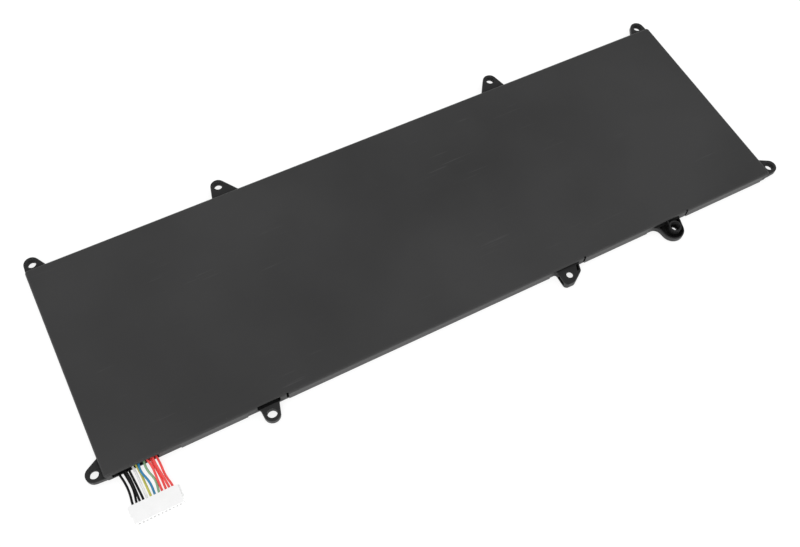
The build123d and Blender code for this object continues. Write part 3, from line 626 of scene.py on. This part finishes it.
class BATTERY_OT_plug(bpy.types.Operator):
    """Finishes the plug's housing and its contacts"""

    bl_idname = "battery.plug"
    bl_label = "Finish the Plug"

    def execute(self, context):
        nylon = finish_material(
            "Plug Nylon", settings("leads").plug, 0.38, 0.4 * MM, 0.004 * MM,
            patch=5 * MM, contrast=0.02, wear=0.3, wear_width=0.1 * MM, wear_tint=1.08,
        )
        brass = finish_material(
            "Tinned Contact", (0.82, 0.81, 0.78), 0.35, 0.1 * MM, 0.002 * MM,
            patch=1 * MM, contrast=0.12, metal=1.0,
        )
        assign("connector_housing", nylon)
        assign("connector_contacts", brass)
        return {"FINISHED"}


class BATTERY_OT_inside(bpy.types.Operator):
    """Finishes the cells, their tabs and tapes, and the circuit board with its parts"""

    bl_idname = "battery.inside"
    bl_label = "Finish the Inside"

    def execute(self, context):
        looks = {
            "Pouch Foil": ((0.55, 0.56, 0.58), 0.34, 0.5 * MM, 0.01 * MM, {"metal": 0.9}),
            "Cell Tape": ((0.7, 0.68, 0.58), 0.6, 0.4 * MM, 0.01 * MM, {}),
            "Aluminium Tab": ((0.62, 0.63, 0.65), 0.32, 0.2 * MM, 0.003 * MM, {"metal": 1.0}),
            "Nickel Tab": ((0.5, 0.48, 0.45), 0.3, 0.2 * MM, 0.003 * MM, {"metal": 1.0}),
            "Solder Mask": ((0.01, 0.06, 0.025), 0.3, 0.6 * MM, 0.006 * MM, {"patch": 3 * MM}),
            "Solder": ((0.6, 0.61, 0.63), 0.35, 0.3 * MM, 0.01 * MM, {"metal": 1.0}),
            "Moulded Chip": ((0.012, 0.012, 0.013), 0.55, 0.12 * MM, 0.004 * MM, {}),
            "Chip Ceramic": ((0.3, 0.2, 0.12), 0.45, 0.1 * MM, 0.002 * MM, {}),
            "Fuse Ceramic": ((0.72, 0.7, 0.62), 0.5, 0.15 * MM, 0.003 * MM, {}),
        }
        made = {}
        for name, (color, roughness, grain, depth, more) in looks.items():
            made[name] = finish_material(name, color, roughness, grain, depth, **more)
        pieces = {
            "circuit_board": "Solder Mask",
            "solder_joints": "Solder",
            "capacitors": "Chip Ceramic",
            "resistors": "Moulded Chip",
            "gauge_chip": "Moulded Chip",
            "protector_chip": "Moulded Chip",
            "charge_switch": "Moulded Chip",
            "discharge_switch": "Moulded Chip",
            "chemical_fuse": "Fuse Ceramic",
            "sense_resistor": "Nickel Tab",
            "thermistor": "Chip Ceramic",
        }
        for number in range(1, 5):
            pieces[f"cell_{number}"] = "Pouch Foil"
            pieces[f"cell_tape_{number}"] = "Cell Tape"
            pieces[f"positive_tab_{number}"] = "Aluminium Tab"
            pieces[f"negative_tab_{number}"] = "Nickel Tab"
            pieces[f"thermal_cutoff_{number}"] = "Moulded Chip"
        for node, name in pieces.items():
            assign(node, made[name])
        return {"FINISHED"}


class BATTERY_PT_panel(bpy.types.Panel):
    """Panel with the battery's settings and steps"""

    bl_label = "Laptop Battery"
    bl_idname = "BATTERY_PT_panel"
    bl_space_type = "VIEW_3D"
    bl_region_type = "UI"
    bl_category = "Battery"

    def draw(self, context):
        for group, operators in STEPS.items():
            box = self.layout.box()
            held = settings(group)
            for name in held.__annotations__:
                box.prop(held, name)
            for operator in operators:
                box.operator(operator)


# Groups of settings, each with the steps that use it, in the order of the steps
STEPS = {
    "stage": ["battery.stage"],
    "leads": ["battery.leads", "battery.plug"],
    "films": ["battery.films"],
    "frame": ["battery.frame", "battery.inside"],
}
GROUPS = {
    "films": BatteryFilmSettings,
    "frame": BatteryFrameSettings,
    "leads": BatteryLeadSettings,
    "stage": BatteryStageSettings,
}
CLASSES = [
    *GROUPS.values(),
    BATTERY_OT_stage,
    BATTERY_OT_leads,
    BATTERY_OT_films,
    BATTERY_OT_frame,
    BATTERY_OT_plug,
    BATTERY_OT_inside,
    BATTERY_PT_panel,
]


def register():
    """Adds the classes and the settings."""
    for kind in CLASSES:
        bpy.utils.register_class(kind)
    for name, kind in GROUPS.items():
        setattr(bpy.types.Scene, "battery_" + name, PointerProperty(type=kind))


def unregister():
    """Takes the settings and the classes away again."""
    for name in GROUPS:
        delattr(bpy.types.Scene, "battery_" + name)
    for kind in reversed(CLASSES):
        bpy.utils.unregister_class(kind)


def main():
    """Registers the add-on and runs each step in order."""
    register()
    for operators in STEPS.values():
        for operator in operators:
            family, name = operator.split(".")
            getattr(getattr(bpy.ops, family), name)()


if __name__ == "__main__":
    main()
